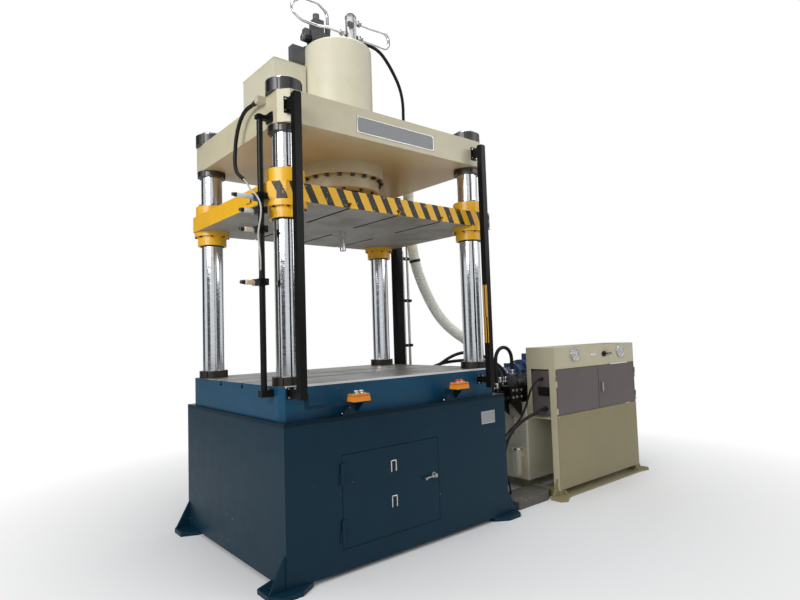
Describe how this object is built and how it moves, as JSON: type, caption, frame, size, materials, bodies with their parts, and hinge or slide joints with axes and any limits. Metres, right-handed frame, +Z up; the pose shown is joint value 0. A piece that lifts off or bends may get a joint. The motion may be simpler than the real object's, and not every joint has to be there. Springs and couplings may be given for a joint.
{
  "type": "hydraulic_press",
  "caption": "Four-column hydraulic press with a moving platen, slotted bed, crown-mounted cylinder and oil tank, and a separate power unit with hoses.",
  "frame": {"origin": "on the floor, midway between the four columns", "axes": "+X to the operator's right, +Y to the rear, +Z up"},
  "size_m": [3.698, 1.509, 3.6014],
  "materials": {
    "cream_paint": "satin",
    "teal_paint": "satin",
    "bed_paint": "satin",
    "yellow_paint": "satin",
    "olive_paint": "satin",
    "mauve_paint": "satin",
    "black_paint": "satin",
    "orange_plastic": "gloss",
    "red_plastic": "gloss",
    "green_plastic": "gloss",
    "column_chrome": "polished",
    "ground_steel": "brushed",
    "black_steel": "satin",
    "plate_metal": "satin",
    "blue_paint": "satin",
    "grey_paint": "satin",
    "black_plastic": "matte",
    "hose_rubber": "matte",
    "hose_grey": "matte"
  },
  "bodies": {
    "frame": {"base_floor": "teal_paint", "base_walls": "teal_paint", "base_front": "teal_paint", "base_top": "bed_paint", "base_feet": "teal_paint", "bed_table": "bed_paint", "bed_nuts": "black_steel", "crown_nuts": "black_steel", "crown": "cream_paint", "main_cylinder": "cream_paint", "prefill_tank": "cream_paint", "top_box": "cream_paint", "pilot_valves": "grey_paint", "pilot_tubes": "column_chrome", "guard_post_left": "black_paint", "guard_post_right": "black_paint", "station_brackets": "teal_paint", "button_box_left": "orange_plastic", "button_box_right": "orange_plastic", "limit_rod": "black_steel", "limit_switches": "ground_steel", "service_post": "black_paint", "service_pipes": "ground_steel", "name_plate": "plate_metal", "label_plate": "plate_metal", "unit_skid": "olive_paint", "unit_tank": "cream_paint", "unit_console": "olive_paint", "unit_panel": "olive_paint", "gauges": "ground_steel", "unit_motor": "blue_paint", "unit_pump": "grey_paint", "unit_manifold": "black_steel", "unit_valves": "grey_paint", "unit_filter": "grey_paint", "floor_channel": "grey_paint", "column_front_left": "column_chrome", "column_front_right": "column_chrome", "column_rear_left": "column_chrome", "column_rear_right": "column_chrome", "return_hose": "hose_grey", "pilot_hose": "hose_rubber", "table_hose_upper": "hose_rubber", "table_hose_lower": "hose_rubber", "arch_hose": "hose_rubber", "switch_cable": "hose_rubber", "console_cable": "hose_rubber", "supply_cable": "hose_rubber"},
    "slide": {"platen": "yellow_paint", "platen_bushes": "yellow_paint", "ram": "column_chrome"},
    "door": {"base_door": "teal_paint"},
    "latch": {"door_latch": "ground_steel"},
    "button_l": {"push_button_left": "green_plastic"},
    "button_r": {"push_button_right": "red_plastic"},
    "unit_leaf_left": {"unit_door_left": "mauve_paint"},
    "unit_leaf_right": {"unit_door_right": "mauve_paint"},
    "handle": {"unit_handle": "black_plastic"},
    "selector_knob": {"selector": "black_plastic"},
    "rotor": {"motor_rotor": "ground_steel"}
  },
  "joints": [
    {"name": "ram_stroke", "type": "slide", "parent": "frame", "child": "slide", "axis": [0, 0, 1], "range_m": [-0.7, 0]},
    {"name": "cabinet_door", "type": "hinge", "parent": "frame", "child": "door", "pos_m": [-0.503, -0.679, 0.375], "axis": [0, 0, -1], "range_deg": [0, 105]},
    {"name": "door_latch_turn", "type": "hinge", "parent": "door", "child": "latch", "pos_m": [0.158, -0.672, 0.4], "axis": [0, -1, 0], "range_deg": [0, 90]},
    {"name": "left_button_press", "type": "slide", "parent": "frame", "child": "button_l", "axis": [0, 0, -1], "range_m": [0, 0.005], "stiffness_N_per_m": 600},
    {"name": "right_button_press", "type": "slide", "parent": "frame", "child": "button_r", "axis": [0, 0, -1], "range_m": [0, 0.005], "stiffness_N_per_m": 600},
    {"name": "unit_left_leaf", "type": "hinge", "parent": "frame", "child": "unit_leaf_left", "pos_m": [1.435, -0.6773, 0.77], "axis": [0, 0, -1], "range_deg": [0, 110]},
    {"name": "unit_right_leaf", "type": "hinge", "parent": "frame", "child": "unit_leaf_right", "pos_m": [2.595, -0.6773, 0.77], "axis": [0, 0, 1], "range_deg": [0, 110]},
    {"name": "unit_handle_turn", "type": "hinge", "parent": "unit_leaf_right", "child": "handle", "pos_m": [2.0585, -0.672, 0.768], "axis": [0, -1, 0], "range_deg": [0, 90]},
    {"name": "selector_turn", "type": "hinge", "parent": "frame", "child": "selector_knob", "pos_m": [2.114, -0.672, 1.034], "axis": [0, -1, 0], "range_deg": [0, 90]},
    {"name": "motor_spin", "type": "hinge", "parent": "frame", "child": "rotor", "pos_m": [1.93, 0.05, 0.862], "axis": [1, 0, 0], "continuous": true}
  ]
}
